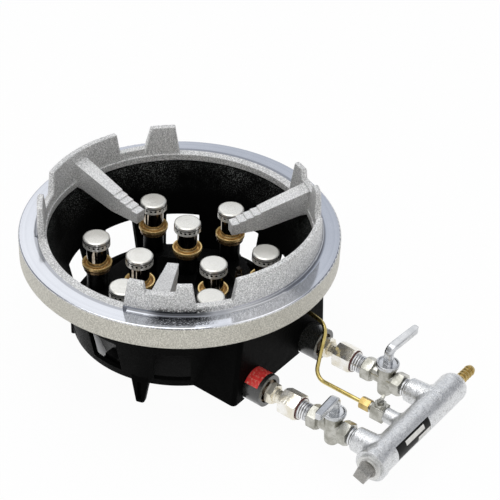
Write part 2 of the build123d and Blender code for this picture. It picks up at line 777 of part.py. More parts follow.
def manifold():
    r, inside = manifold_radius, manifold_radius - manifold_wall
    tip = manifold_far + manifold_dome
    tip_flat = barb_radius + barb_seat
    shoulder = (tip_flat + (r - tip_flat) * dome_swell, 0, manifold_far + manifold_dome * dome_rise)
    half_section = make_face([
        Line((0, 0, -manifold_near), (r, 0, -manifold_near)),
        Line((r, 0, -manifold_near), (r, 0, manifold_far)),
        ThreePointArc((r, 0, manifold_far), shoulder, (tip_flat, 0, tip)),
        Line((tip_flat, 0, tip), (0, 0, tip)),
        Line((0, 0, tip), (0, 0, -manifold_near)),
    ])
    body = along_manifold(revolve(half_section, Axis.Z))
    boss = turned((0, boss_from), (manifold_boss - manifold_boss_edge, boss_from),
                  (manifold_boss, boss_from + manifold_boss_edge),
                  (manifold_boss_root, manifold_at), (0, manifold_at))
    for side in (-1, 1):
        body += in_train(side, boss)
    body += on_pilot(rod(pilot_boss, pilot_inlet, manifold_at))
    joins = body.edges().filter_by(lambda e: e.geom_type not in (GeomType.CIRCLE, GeomType.LINE))
    body = fillet(joins, manifold_blend)
    collar = r + manifold_collar
    collar_to = manifold_collar_length - manifold_near
    collar_foot = collar_to + manifold_collar
    body += along_manifold(turned((inside, -manifold_near), (collar, -manifold_near), (collar, collar_to),
                                  (r, collar_foot), (inside, collar_foot)))
    bore_from = -manifold_near + plug_thread + plug_seat_wall
    body -= along_manifold(rod(inside, bore_from, manifold_far))
    plug_hole = rod(plug_thread_radius + fit_clearance, -manifold_near - cut_past, bore_from + cut_past)
    body -= along_manifold(plug_hole)
    body -= along_manifold(rod(barb_radius + fit_clearance, manifold_far - cut_past, tip + cut_past))
    for side in (-1, 1):
        body -= in_train(side, rod(thread_radius + fit_clearance, boss_from - cut_past, manifold_at))
    return body - on_pilot(rod(pilot_thread + fit_clearance, pilot_inlet - cut_past, manifold_at))


def end_plug():
    flange_to = -manifold_near - plug_flange
    body = rod(plug_flange_radius, flange_to, -manifold_near)
    body += rod(plug_thread_radius, -manifold_near, -manifold_near + plug_thread)
    body += rod(plug_step_radius, flange_to - plug_step, flange_to)
    square = extrude(Rectangle(plug_square, plug_square, rotation=plug_square_turn), plug_square_length)
    square = Pos(0, 0, flange_to - plug_square_length) * square
    square = chamfer(square.faces().sort_by(Axis.Z)[0].edges(), plug_square_edge)
    return along_manifold(body + square)


def hose_barb():
    root = manifold_far + manifold_dome
    crest = barb_radius + barb_rib
    thread_from = root - barb_thread
    outline = [(barb_bore, thread_from), (barb_radius, thread_from), (barb_radius, root + barb_stub)]
    for i in range(barb_ribs):
        start = root + barb_stub + i * barb_pitch
        rise = start + barb_rib_rise
        outline += [(crest, rise), (crest, rise + barb_rib_flat), (barb_radius, start + barb_pitch)]
    outline += [(barb_bore, root + barb_stub + barb_ribs * barb_pitch)]
    return along_manifold(turned(*outline))


def pilot_body():
    block = Pos(0, -pilot_axis, supply_height) * Box(pilot_body_width, pilot_body_length, pilot_body_height)
    block = chamfer(block.edges(), pilot_body_edge)
    block += on_pilot(rod(pilot_thread, pilot_inlet, pilot_inlet + pilot_thread_length))
    block += on_pilot(rod(pilot_shoulder_radius, pilot_outlet, pilot_block_from))
    block += on_pilot(rod(pilot_thread, pilot_outlet - pilot_thread_length, pilot_outlet))
    gland_from = supply_height + pilot_body_height / 2
    block += Pos(0, -pilot_axis, 0) * hexagon(2 * pilot_gland_radius, gland_from, gland_from + pilot_gland)
    passage = pilot_thread_length + cut_past
    block -= on_pilot(rod(pilot_tube_bore, pilot_outlet - passage, pilot_inlet + passage))
    gland_to = gland_from + pilot_gland
    stem_hole = rod(pilot_stem_radius + plug_clearance, gland_to - pilot_stem_depth, gland_to + cut_past)
    return block - Pos(0, -pilot_axis, 0) * stem_hole


def pilot_stem():
    top = supply_height + pilot_body_height / 2 + pilot_gland
    body = rod(pilot_stem_radius, top - pilot_stem_depth + pilot_stem_gap, top + pilot_stem_rise)
    wing_from = top + pilot_wing_gap
    ear = wing_from + pilot_wing_height * pilot_wing_ear
    saddle = wing_from + pilot_wing_height * pilot_wing_saddle
    tip = wing_from + pilot_wing_height
    half = pilot_wing_span / 2
    tip_half = half - pilot_wing_inset
    outline = Polyline((-pilot_stem_radius, wing_from), (pilot_stem_radius, wing_from), (half, ear),
                       (tip_half, tip), (pilot_saddle_half, saddle), (-pilot_saddle_half, saddle),
                       (-tip_half, tip), (-half, ear), close=True)
    wing = extrude(make_face(outline), pilot_wing_thick / 2, both=True)
    return Pos(0, -pilot_axis, 0) * (body + Rot(90, 0, 0) * wing)


def flare_nut():
    body = hexagon(flare_hex, flare_from, pilot_outlet)
    thread_from = pilot_outlet - pilot_thread_length - thread_relief
    body -= rod(pilot_thread + fit_clearance, thread_from, pilot_outlet + cut_past)
    return on_pilot(body - rod(pilot_tube_radius + fit_clearance, flare_from - cut_past, pilot_outlet))


def pilot_tube():
    route = [(0, -flare_from - flare_grip, supply_height), (0, -pilot_turn, supply_height)]
    route += [(*place, pilot_rise) for place in (pilot_over, pilot_entry, pilot_inner, pilot_tip_at)]
    route += [(*pilot_tip_at, pilot_tip_base)]
    path = FilletPolyline(*route, radius=pilot_bend)
    section = Circle(pilot_tube_radius) - Circle(pilot_tube_bore)
    return sweep(Plane(origin=route[0], z_dir=(0, 1, 0)) * section, path)


def pilot_tip():
    top = pilot_tip_base + pilot_tip_height
    skirt_to = pilot_tip_base + pilot_tip_skirt
    barrel = pilot_tip_radius - pilot_tip_step
    body = turned((0, pilot_tip_base), (pilot_tip_radius, pilot_tip_base), (pilot_tip_radius, skirt_to),
                  (barrel, skirt_to + pilot_tip_step), (barrel, top - pilot_tip_crown),
                  (barrel - pilot_tip_step, top), (0, top))
    slot = Box(3 * pilot_tip_radius, pilot_slot_width, pilot_slot_height)
    return Pos(*pilot_tip_at) * (body - Pos(0, 0, top - pilot_slot_drop) * slot)


parts = {
    "pan_ring": pan_ring(),
    "body_shell": body_shell(),
    "burner_casting": burner_casting(),
    "manifold": manifold(),
    "manifold_end_plug": end_plug(),
    "hose_barb": hose_barb(),
    "pilot_valve_body": pilot_body(),
    "pilot_valve_stem": pilot_stem(),
    "pilot_flare_nut": flare_nut(),
    "pilot_tube": pilot_tube(),
    "pilot_burner_tip": pilot_tip(),
}
for name, place in head_places():
    parts[f"{name}_base"] = Pos(*place) * head_base()
    parts[f"{name}_collar"] = Pos(*place) * head_collar()
    parts[f"{name}_cap"] = Pos(*place) * head_cap()
for label, side in sides:
    parts[f"{label}_air_shutter"] = in_train(side, air_shutter())
    parts[f"{label}_jet"] = in_train(side, jet())
    parts[f"{label}_union_tail"] = in_train(side, union_tail())
    parts[f"{label}_union_nut"] = in_train(side, union_nut_piece())
    parts[f"{label}_joint_ring"] = in_train(side, joint_ring_piece())
    parts[f"{label}_union_sleeve"] = in_train(side, union_sleeve())
    at_cock = Pos(side * tube_spacing / 2, -cock_axis, supply_height)
    closed = Rot(0, 0, 0 if side > 0 else 180) * Rot(0, 0, -side * lever_closed_skew)
    parts[f"{label}_cock_body"] = Pos(side * tube_spacing / 2, 0, supply_height) * cock_body()
    parts[f"{label}_cock_plug"] = at_cock * closed * cock_plug()
    parts[f"{label}_cock_lever"] = at_cock * closed * cock_lever()
    parts[f"{label}_nipple"] = in_train(side, nipple())

os.makedirs("parts", exist_ok=True)
for name, piece in parts.items():
    export_step(piece, f"parts/{name}.step")
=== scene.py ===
import json
from math import cos, pi, radians, sin

import bmesh
import bpy
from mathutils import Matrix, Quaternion, Vector

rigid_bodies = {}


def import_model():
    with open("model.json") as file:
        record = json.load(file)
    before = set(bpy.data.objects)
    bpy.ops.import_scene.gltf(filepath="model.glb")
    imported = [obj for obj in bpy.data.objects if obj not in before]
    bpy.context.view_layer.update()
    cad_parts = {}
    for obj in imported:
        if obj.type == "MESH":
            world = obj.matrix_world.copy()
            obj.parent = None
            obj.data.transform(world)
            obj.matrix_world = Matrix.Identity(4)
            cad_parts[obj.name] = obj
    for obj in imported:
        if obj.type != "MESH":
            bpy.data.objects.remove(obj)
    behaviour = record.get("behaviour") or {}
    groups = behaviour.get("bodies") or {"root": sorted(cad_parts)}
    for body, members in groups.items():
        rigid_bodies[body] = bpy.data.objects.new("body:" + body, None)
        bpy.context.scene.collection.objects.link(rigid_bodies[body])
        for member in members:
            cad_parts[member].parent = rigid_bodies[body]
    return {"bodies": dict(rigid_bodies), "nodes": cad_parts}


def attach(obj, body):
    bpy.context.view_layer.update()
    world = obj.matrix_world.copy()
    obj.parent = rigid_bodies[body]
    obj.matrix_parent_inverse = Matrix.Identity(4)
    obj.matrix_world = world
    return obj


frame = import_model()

stove = set(frame["nodes"].values()) | set(frame["bodies"].values())
for spare in [thing for thing in bpy.data.objects if thing not in stove]:
    bpy.data.objects.remove(spare)
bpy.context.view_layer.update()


# Places on the stove, in metres and degrees. A pair is where one finish ends and where the next is full.

tube_x = 0.0523
tube_radius = 0.0195
supply_z = 0.044
manifold_y = -0.3282
manifold_radius = 0.0172
thread_pitch = 0.0032

# Pan ring, by its radius, height and the side that a point lies towards
ring_top = 0.160
finger_to_wall = (0.140, 0.152)
wall_to_flat = (0.1626, 0.1634)
flat_to_rim = (0.181, 0.184)
flat_heights = (ring_top - 0.0004, ring_top + 0.0046)
rim_heights = (ring_top - 0.0025, ring_top - 0.001)
wall_face = (0.1600, 0.1612)
foot_heights = (ring_top + 0.005, ring_top + 0.011)
# Radii of painted shade in the corner and of a painted reflection in flecks, and the sides of the ring that
# take them and a painted highlight
shaded_corner = (0.1622, 0.1660)
reflected_fleck_radii = (0.1650, 0.1790)
front_block_side, front_block_spread = 220, (0.972, 0.993)
painted_highlight_side, painted_highlight_spread = 252, (0.955, 0.992)

# Body and burner casting
mouth_radii = (0.152, 0.1535)
mouth_heights = (0.105, 0.158)
box_front = (-0.140, -0.132)

# Burner heads, by the radius and angles of their two circles, and by each head's own radius and height
outer_heads = (0.0995, (2.0, 59.0, 119.5, 180.0, 240.0, 305.0))
inner_heads = (0.0500, (30.0, 150.0, 270.0))
dish_foot = (0.0900, 0.0925)
dish_rim = (0.0948, 0.0958)
neck_radii = (0.0124, 0.0130)
neck_heights = (0.0965, 0.0985)
collar_inside = (0.0152, 0.0158)
cap_foot = 0.128
cap_seam = (cap_foot - 0.0009, cap_foot - 0.0006)
cap_underside = (cap_foot - 0.0001, cap_foot + 0.0001)
pilot_tip_radii = (0.0184, 0.0190)
pilot_tip_heights = (0.060, 0.066)

# Fittings
plug_collar = (0.0102, 0.0106)
washer_to_fibre = (0.0121, 0.0124)

# Red label on the near mixing tube, and the manifold's plate with its black face and two blank fields,
# which are given by the two ends in x and the two heights in degrees
sheet_gap = 0.00002
sheet_corner = 0.0008
label_ends = (-0.1385, -0.1690)
label_start, label_sweep = 48, 98
label_thick = 0.00015
plate_ends = (-0.050, 0.015)
plate_start, plate_sweep = 190, 60
plate_thick = 0.0004
plate_face = (-0.0490, 0.0140, -8.5, 48.5)
upper_field = (-0.0325, 0.0030, 22.0, 40.0)
lower_field = (-0.0100, 0.0135, -8.0, 11.0)

# Studio. The floor is left in shadow where two circles under the body overlap.
paper_radius = 4.0
paper_drop = 0.0004
middle_shadow = (0.105, 0.135)
back_shadow_x, back_shadow_y, back_shadow = 0.033, 0.024, (0.126, 0.132)
front_wall, front_wall_spread = (-0.807, -0.591, 0.0), (-0.10, 0.60)
back_panel, back_panel_spread = (0.650, 0.476, 0.592), (0.80, 0.95)
panel_light, panel_light_spread = (-0.354, 0.484, 1.0), (0.53, 0.70)
horizon_to_wall = (0.10, 0.34)
wall_to_ceiling = (0.72, 0.86)
lamp_place, lamp_aim = (-0.25, 0.15, 1.55), (0.0, -0.1, 0.1)
lamp_size, lamp_power = 1.1, 6.0
camera_place = (-1.0804, -0.8915, 1.1590)
camera_look = (0.65012, 0.47610, -0.59217)
camera_roll = 2.683
sensor_mm, lens_mm = 36.0, 107.68


def around(radius, angle):
    """Point on a circle, by its angle in degrees."""
    return radius * cos(radians(angle)), radius * sin(radians(angle))


# Node helpers

def feed(tree, socket, value):
    """Link an input to a socket, or set a plain value on it."""
    if isinstance(value, bpy.types.NodeSocket):
        tree.links.new(value, socket)
    else:
        socket.default_value = value


def put(tree, kind, values=None, **settings):
    """Add a node with its settings, and feed its inputs."""
    made = tree.nodes.new(kind)
    for name, setting in settings.items():
        setattr(made, name, setting)
    for name, value in (values or {}).items():
        feed(tree, made.inputs[name], value)
    return made


def calc(tree, operation, *values):
    """Output of a Math node."""
    return put(tree, "ShaderNodeMath", dict(enumerate(values)), operation=operation).outputs[0]


def arrow(tree, operation, *values, name=0):
    """Output of a Vector Math node."""
    return put(tree, "ShaderNodeVectorMath", dict(enumerate(values)), operation=operation).outputs[name]


def both(tree, first, second):
    """Where two masks meet. A number in place of a mask weakens the other one."""
    return calc(tree, "MULTIPLY", first, second)


def either(tree, first, second):
    """Where one mask or the other is."""
    return calc(tree, "MAXIMUM", first, second)


def step(tree, value, low, high, first=0.0, last=1.0):
    """Smooth change from one number to another while a value goes from low to high."""
    limits = {"Value": value, "From Min": low, "From Max": high, "To Min": first, "To Max": last}
    return put(tree, "ShaderNodeMapRange", limits, interpolation_type="SMOOTHSTEP").outputs[0]


def fade(tree, value, low, high):
    """Smooth change from one to nought while a value goes from low to high."""
    return step(tree, value, low, high, 1.0, 0.0)


def band(tree, value, low, high, soft):
    """One between two numbers and nought outside them, with soft ends."""
    return both(tree, step(tree, value, low - soft, low), fade(tree, value, high, high + soft))


def join(tree, share, first, last, kind):
    """Output of a Mix node for colours, numbers or directions."""
    first_at, last_at, out_at = {"RGBA": (6, 7, 2), "FLOAT": (2, 3, 0), "VECTOR": (4, 5, 1)}[kind]
    made = put(tree, "ShaderNodeMix", {0: share, first_at: first, last_at: last}, data_type=kind)
    return made.outputs[out_at]


def blend(tree, share, first, last):
    """Mix of two colours."""
    return join(tree, share, first, last, "RGBA")


def level(tree, share, first, last):
    """Mix of two numbers."""
    return join(tree, share, first, last, "FLOAT")


def grey(value):
    return (value, value, value, 1.0)


def rgb(red, green, blue):
    return (red, green, blue, 1.0)


def surface(tree):
    """Place on the surface, as a vector."""
    return put(tree, "ShaderNodeTexCoord").outputs["Object"]


def spot_on(tree):
    """Place on the surface, as three numbers."""
    return put(tree, "ShaderNodeSeparateXYZ", {0: surface(tree)}).outputs


def distance(tree, first, second):
    """Length of the long side of a square corner."""
    squares = [calc(tree, "MULTIPLY", side, side) for side in (first, second)]
    return calc(tree, "SQRT", calc(tree, "ADD", *squares))


def off_axis(tree, first, first_axis, second, second_axis):
    """Distance from an axis that runs along the third direction."""
    pairs = ((first, first_axis), (second, second_axis))
    return distance(tree, *[calc(tree, "SUBTRACT", place, axis) for place, axis in pairs])


def noise(tree, scale, detail, rough=0.5):
    """Cloudy noise over the surface."""
    values = {"Vector": surface(tree), "Scale": scale, "Detail": detail, "Roughness": rough}
    return put(tree, "ShaderNodeTexNoise", values).outputs[0]


def soft_edge(tree, radius):
    """Normal with the sharp edges rounded off."""
    return put(tree, "ShaderNodeBevel", {"Radius": radius}, samples=4).outputs[0]


def bump(tree, height, depth, normal=None, strength=1.0):
    """Normal with a relief on it."""
    made = put(tree, "ShaderNodeBump", {"Height": height, "Distance": depth, "Strength": strength})
    if normal is not None:
        feed(tree, made.inputs["Normal"], normal)
    return made.outputs[0]


def new_group(name, inputs, outputs):
    """Empty shader group with number inputs and number or vector outputs."""
    group = bpy.data.node_groups.new(name, "ShaderNodeTree")
    for label, value in inputs.items():
        socket = group.interface.new_socket(label, in_out="INPUT", socket_type="NodeSocketFloat")
        socket.default_value = value
    for label, kind in outputs.items():
        group.interface.new_socket(label, in_out="OUTPUT", socket_type="NodeSocket" + kind)
    return group, put(group, "NodeGroupInput").outputs, put(group, "NodeGroupOutput").inputs


def use(tree, group, **values):
    """Place a group in a material with its own values."""
    made = put(tree, "ShaderNodeGroup", node_tree=group)
    for name, value in values.items():
        feed(tree, made.inputs[name.replace("_", " ")], value)
    return made.outputs


# Effects shared by several finishes

def make_cast_skin():
    """Skin of a sand casting: sand grain with small pits, shallow waves and wide patches."""
    sizes = {"Grain size": 0.0012, "Wave size": 0.008, "Wave share": 0.35}
    looks = {"Height": "Float", "Speck": "Float", "Patch": "Float"}
    group, given, out = new_group("cast_skin", sizes, looks)
    grain_scale = calc(group, "DIVIDE", 1.0, given["Grain size"])
    grain = noise(group, grain_scale, 3.0, 0.6)
    wave = noise(group, calc(group, "DIVIDE", 1.0, given["Wave size"]), 2.0)
    pits = put(group, "ShaderNodeTexVoronoi", {"Vector": surface(group), "Scale": grain_scale})
    sand = both(group, grain, step(group, pits.outputs["Distance"], 0.0, 0.55, 0.5, 1.0))
    feed(group, out["Height"], level(group, given["Wave share"], sand, wave))
    feed(group, out["Speck"], step(group, grain, 0.35, 0.68))
    feed(group, out["Patch"], noise(group, 22.0, 3.0, 0.55))
    return group


def make_head_axis():
    """Distance and direction from the axis of the nearest of the nine burner heads."""
    group, _, out = new_group("head_axis", {}, {"Radius": "Float", "Outward": "Vector"})
    flat = arrow(group, "MULTIPLY", surface(group), (1.0, 1.0, 0.0))
    arm, reach = None, None
    for circle, angles in (outer_heads, inner_heads):
        for angle in angles:
            spoke = arrow(group, "SUBTRACT", flat, (*around(circle, angle), 0.0))
            length = arrow(group, "LENGTH", spoke, name="Value")
            if arm is None:
                arm, reach = spoke, length
            else:
                arm = join(group, calc(group, "LESS_THAN", length, reach), arm, spoke, "VECTOR")
                reach = calc(group, "MINIMUM", length, reach)
    feed(group, out["Radius"], reach)
    feed(group, out["Outward"], arrow(group, "NORMALIZE", arm))
    return group


def make_lathe_lines():
    """Fine turned lines, and wider bands of them, at a distance from an axis."""
    group, given, out = new_group("lathe_lines", {"Radius": 0.0, "Pitch": 0.0004},
                                  {"Line": "Float", "Band": "Float"})
    fine = calc(group, "DIVIDE", 1.0, given["Pitch"])
    wide = calc(group, "MULTIPLY", fine, 0.12)
    for label, scale in (("Line", fine), ("Band", wide)):
        values = {"W": given["Radius"], "Scale": scale, "Detail": 2.0}
        feed(group, out[label], put(group, "ShaderNodeTexNoise", values, noise_dimensions="1D").outputs[0])
    return group


def make_handling():
    """Cloudy marks and small dull spots that plating and polish pick up."""
    group, given, out = new_group("handling", {"Size": 0.012}, {"Cloud": "Float", "Spot": "Float"})
    scale = calc(group, "DIVIDE", 1.0, given["Size"])
    cloud = noise(group, scale, 4.0, 0.6)
    spot = noise(group, calc(group, "MULTIPLY", scale, 6.0), 2.0)
    feed(group, out["Cloud"], step(group, cloud, 0.32, 0.68))
    feed(group, out["Spot"], step(group, spot, 0.58, 0.72))
    return group


cast_skin = make_cast_skin()
head_axis = make_head_axis()
lathe_lines = make_lathe_lines()
handling = make_handling()


# Finishes

shader_inputs = {"color": "Base Color", "rough": "Roughness", "metal": "Metallic", "normal": "Normal",
                 "specular": "Specular IOR Level", "coat": "Coat Weight", "coat_rough": "Coat Roughness",
                 "coat_ior": "Coat IOR"}


def finish(slot):
    """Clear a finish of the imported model, or start a new one, and give it a shader."""
    material = bpy.data.materials.get(slot) or bpy.data.materials.new(slot)
    material.use_nodes = True
    tree = material.node_tree
    tree.nodes.clear()
    shader = put(tree, "ShaderNodeBsdfPrincipled")
    put(tree, "ShaderNodeOutputMaterial", {"Surface": shader.outputs[0]})
    return tree, shader


def link(tree, shader, **values):
    """Feed a finish to its shader."""
    for name, value in values.items():
        feed(tree, shader.inputs[shader_inputs[name]], value)


def paint_pan_ring():
    """Silver paint over a sand casting, with a flat top that is turned bright."""
    tree, shader = finish("silver_casting")
    x, y, z = spot_on(tree)
    radius = distance(tree, x, y)
    skin = use(tree, cast_skin, Grain_size=0.0014, Wave_size=0.009, Wave_share=0.35)
    lines = use(tree, lathe_lines, Radius=radius, Pitch=0.0007)
    marks = use(tree, handling, Size=0.03)

    def toward(side, spread):
        """Part of the ring that lies towards one side."""
        side_x, side_y = around(1.0, side)
        along = calc(tree, "ADD", calc(tree, "MULTIPLY", x, side_x), calc(tree, "MULTIPLY", y, side_y))
        return step(tree, calc(tree, "DIVIDE", along, radius), *spread)

    flat = both(tree, step(tree, radius, *wall_to_flat), band(tree, z, *flat_heights, 0.0008))
    rim = both(tree, step(tree, radius, *flat_to_rim), fade(tree, z, *rim_heights))
    front = toward(front_block_side, front_block_spread)
    # Dark flecks before the front block: painted shade at the wall's foot, and a painted reflection on the
    # flat
    painted_fleck = both(tree, front, fade(tree, skin["Speck"], 0.50, 0.92))

    # Rough paint, painted paler on the fingers as painted light and warmer on the rim, with painted shade
    # in dark flecks at the front block's foot
    hollow = blend(tree, step(tree, radius, *finger_to_wall), grey(0.58), grey(0.42))
    sand = blend(tree, skin["Speck"], hollow, rgb(0.95, 0.95, 0.94))
    # Painted shade: dark flecks on the wall face just above its foot, before the front block
    foot = both(tree, step(tree, radius, *wall_face), step(tree, z, *foot_heights, 0.9, 0.0))
    sand = blend(tree, both(tree, foot, painted_fleck), sand, grey(0.02))
    rim_sand = blend(tree, skin["Speck"], rgb(0.42, 0.405, 0.355), rgb(0.72, 0.70, 0.63))

    # Turned metal, with a painted highlight beside the front block, painted shade in the corner, and a
    # painted reflection of the dark block in flecks before it
    bright = blend(tree, lines["Band"], rgb(0.54, 0.56, 0.61), rgb(0.66, 0.68, 0.73))
    # Painted highlight: a bright sector of the turned top
    sweep = toward(painted_highlight_side, painted_highlight_spread)
    bright = blend(tree, sweep, bright, rgb(0.93, 0.94, 0.98))
    shaded = both(tree, band(tree, radius, *shaded_corner, 0.0022), level(tree, front, 0.42, 0.92))
    # Painted reflection of the dark front block: dark flecks on the flat
    reflected_flecks = both(tree, band(tree, radius, *reflected_fleck_radii, 0.0020), both(tree, painted_fleck, 0.92))
    bright = blend(tree, either(tree, shaded, reflected_flecks), bright, rgb(0.040, 0.043, 0.050))

    rough_sand = level(tree, skin["Patch"], 0.38, 0.56)
    rough_bright = level(tree, marks["Cloud"], 0.07, 0.13)
    grain = bump(tree, skin["Height"], 0.0013, soft_edge(tree, 0.0012))
    cut = bump(tree, lines["Line"], 0.00002, strength=0.5)
    link(tree, shader, color=blend(tree, flat, blend(tree, rim, sand, rim_sand), bright),
         rough=level(tree, flat, rough_sand, rough_bright), metal=level(tree, flat, 0.65, 1.0),
         normal=join(tree, flat, grain, cut, "VECTOR"))


def paint_body():
    """Gloss black over the body's sand casting, with grey specks in patches inside its mouth, fading
    downward.
    """
    tree, shader = finish("black_enamel")
    x, y, z = spot_on(tree)
    skin = use(tree, cast_skin, Grain_size=0.0016, Wave_size=0.010, Wave_share=0.45)
    mouth = both(tree, fade(tree, distance(tree, x, y), *mouth_radii), step(tree, z, *mouth_heights))
    speck_patches = both(tree, mouth, step(tree, skin["Patch"], 0.30, 0.66))
    mouth_specks = both(tree, step(tree, noise(tree, 800.0, 2.0, 0.7), 0.52, 0.66), speck_patches)
    black = blend(tree, skin["Patch"], grey(0.0010), rgb(0.0030, 0.0032, 0.0031))
    link(tree, shader, color=blend(tree, mouth_specks, black, rgb(0.150, 0.158, 0.152)),
         rough=level(tree, skin["Speck"], 0.26, 0.44), specular=0.009,
         normal=bump(tree, skin["Height"], 0.0009, soft_edge(tree, 0.0012)))


def paint_burner():
    """Satin black on the burner's main and bosses, and a glossier coat on the tubes before the box, where
    the black is also painted greyer as painted light.
    """
    tree, shader = finish("black_iron")
    skin = use(tree, cast_skin, Grain_size=0.0013, Wave_size=0.007, Wave_share=0.4)
    outside = fade(tree, spot_on(tree)["Y"], *box_front)
    black = blend(tree, skin["Patch"], grey(0.0012), rgb(0.0034, 0.0036, 0.0035))
    # Painted light: the tubes before the box are painted greyer than the same black inside it
    satin_and_painted_light = blend(tree, skin["Speck"], rgb(0.010, 0.0105, 0.0100), rgb(0.030, 0.031, 0.029))
    link(tree, shader, color=blend(tree, outside, black, satin_and_painted_light),
         rough=level(tree, skin["Speck"], 0.24, 0.42), specular=0.06,
         coat=outside, coat_rough=0.26, coat_ior=1.75,
         normal=bump(tree, skin["Height"], 0.0006, soft_edge(tree, 0.0010)))


def paint_satin_casting():
    """Silver paint over the manifold's smoother casting."""
    tree, shader = finish("satin_casting")
    skin = use(tree, cast_skin, Grain_size=0.0014, Wave_size=0.008, Wave_share=0.75)
    marks = use(tree, handling, Size=0.02)
    silver = blend(tree, skin["Speck"], rgb(0.58, 0.59, 0.60), rgb(0.84, 0.85, 0.86))
    link(tree, shader, color=blend(tree, marks["Spot"], silver, grey(0.50)),
         rough=level(tree, skin["Patch"], 0.22, 0.36), metal=0.85,
         normal=bump(tree, skin["Height"], 0.0013, soft_edge(tree, 0.0012)))


def plate(slot, dark, light, rough, edge, metal=1.0, thread_depth=0.0):
    """Plated or bare metal with cloudy handling marks, and a pipe thread's rings where there is one, with
    painted shade in their grooves.
    """
    tree, shader = finish(slot)
    marks = use(tree, handling, Size=0.012)
    normal = bump(tree, marks["Cloud"], 0.00006, soft_edge(tree, edge))
    color = blend(tree, marks["Cloud"], rgb(*light), rgb(*dark))
    if thread_depth:
        rings = calc(tree, "SINE", calc(tree, "MULTIPLY", spot_on(tree)["Y"], 2 * pi / thread_pitch))
        normal = bump(tree, rings, thread_depth, normal)
        # Painted shade in the grooves of the thread
        color = blend(tree, step(tree, rings, -1.0, -0.3, 0.5, 0.0), color, grey(0.08))
    dull = either(tree, marks["Cloud"], marks["Spot"])
    link(tree, shader, color=color, rough=level(tree, dull, *rough), metal=metal, normal=normal)


def paint_end_plug():
    """Plain steel plug with a grey square, and silver paint on the collar round it."""
    tree, shader = finish("plain_steel")
    place = spot_on(tree)
    skin = use(tree, cast_skin, Grain_size=0.0010, Wave_size=0.006, Wave_share=0.4)
    collar = step(tree, off_axis(tree, place["Y"], manifold_y, place["Z"], supply_z), *plug_collar)
    steel = blend(tree, skin["Speck"], rgb(0.22, 0.215, 0.20), rgb(0.46, 0.45, 0.43))
    silver = blend(tree, skin["Speck"], rgb(0.58, 0.58, 0.57), rgb(0.82, 0.82, 0.80))
    link(tree, shader, color=blend(tree, collar, steel, silver),
         rough=level(tree, skin["Patch"], 0.24, 0.38), metal=0.9,
         normal=bump(tree, skin["Height"], 0.0005, soft_edge(tree, 0.0006)))


def paint_caps():
    """Caps with turned tops, where the fine rings catch the light in bright fans, and undersides in painted
    shade.
    """
    tree, shader = finish("cap_steel")
    axis = use(tree, head_axis)
    lines = use(tree, lathe_lines, Radius=axis["Radius"], Pitch=0.00035)
    lean = calc(tree, "SUBTRACT", lines["Line"], 0.5)
    turned = {0: axis["Outward"], "Scale": lean}
    tilt = put(tree, "ShaderNodeVectorMath", turned, operation="SCALE").outputs[0]
    steel = blend(tree, step(tree, lines["Line"], 0.40, 0.60), rgb(0.62, 0.61, 0.56), rgb(0.97, 0.96, 0.92))
    # Painted shade: the cap below its foot is black and dull
    under = fade(tree, spot_on(tree)["Z"], *cap_underside)
    link(tree, shader, color=blend(tree, under, steel, grey(0.006)),
         rough=level(tree, lines["Band"], 0.18, 0.28), metal=level(tree, under, 0.70, 0.0),
         normal=arrow(tree, "NORMALIZE", arrow(tree, "ADD", soft_edge(tree, 0.0005), tilt)))


def paint_collars():
    """Bright steel collars, with painted shade inside their ports and in the seam under the cap."""
    tree, shader = finish("collar_steel")
    axis = use(tree, head_axis)
    marks = use(tree, handling, Size=0.006)
    # Painted shade in the seam under the cap, and inside the collar so that the ports look dark
    seam = step(tree, spot_on(tree)["Z"], *cap_seam)
    painted_shade = either(tree, seam, fade(tree, axis["Radius"], *collar_inside))
    steel = blend(tree, marks["Cloud"], rgb(0.95, 0.94, 0.90), rgb(0.76, 0.74, 0.68))
    link(tree, shader, color=blend(tree, painted_shade, steel, grey(0.003)),
         rough=level(tree, marks["Cloud"], 0.14, 0.26), metal=level(tree, painted_shade, 0.40, 0.0),
         normal=soft_edge(tree, 0.0003))


def paint_head_brass():
    """Head bases: a bronze dish with painted shade on its foot and a painted highlight on its rim, and a
    burnt neck.
    """
    tree, shader = finish("head_brass")
    z = spot_on(tree)["Z"]
    axis = use(tree, head_axis)
    marks = use(tree, handling, Size=0.006)
    lines = use(tree, lathe_lines, Radius=z, Pitch=0.0005)
    gold = blend(tree, lines["Band"], rgb(0.64, 0.42, 0.16), rgb(0.84, 0.59, 0.26))
    dish = blend(tree, marks["Cloud"], gold, rgb(0.44, 0.28, 0.12))
    # Painted shade on the dish's lower part
    dish = blend(tree, step(tree, z, *dish_foot), rgb(0.16, 0.10, 0.045), dish)
    # Painted highlight on the dish's rim
    dish = blend(tree, step(tree, z, *dish_rim), dish, rgb(0.90, 0.65, 0.28))
    burnt = blend(tree, marks["Cloud"], rgb(0.50, 0.44, 0.36), rgb(0.26, 0.215, 0.165))
    neck = both(tree, fade(tree, axis["Radius"], *neck_radii), step(tree, z, *neck_heights))
    tip = both(tree, step(tree, axis["Radius"], *pilot_tip_radii), step(tree, z, *pilot_tip_heights))
    rough_dish = level(tree, marks["Cloud"], 0.18, 0.30)
    link(tree, shader, color=blend(tree, tip, blend(tree, neck, dish, burnt), rgb(0.020, 0.016, 0.012)),
         rough=level(tree, neck, rough_dish, 0.07), metal=level(tree, neck, 0.60, 1.0),
         normal=bump(tree, lines["Line"], 0.00002, soft_edge(tree, 0.0004), 0.5))


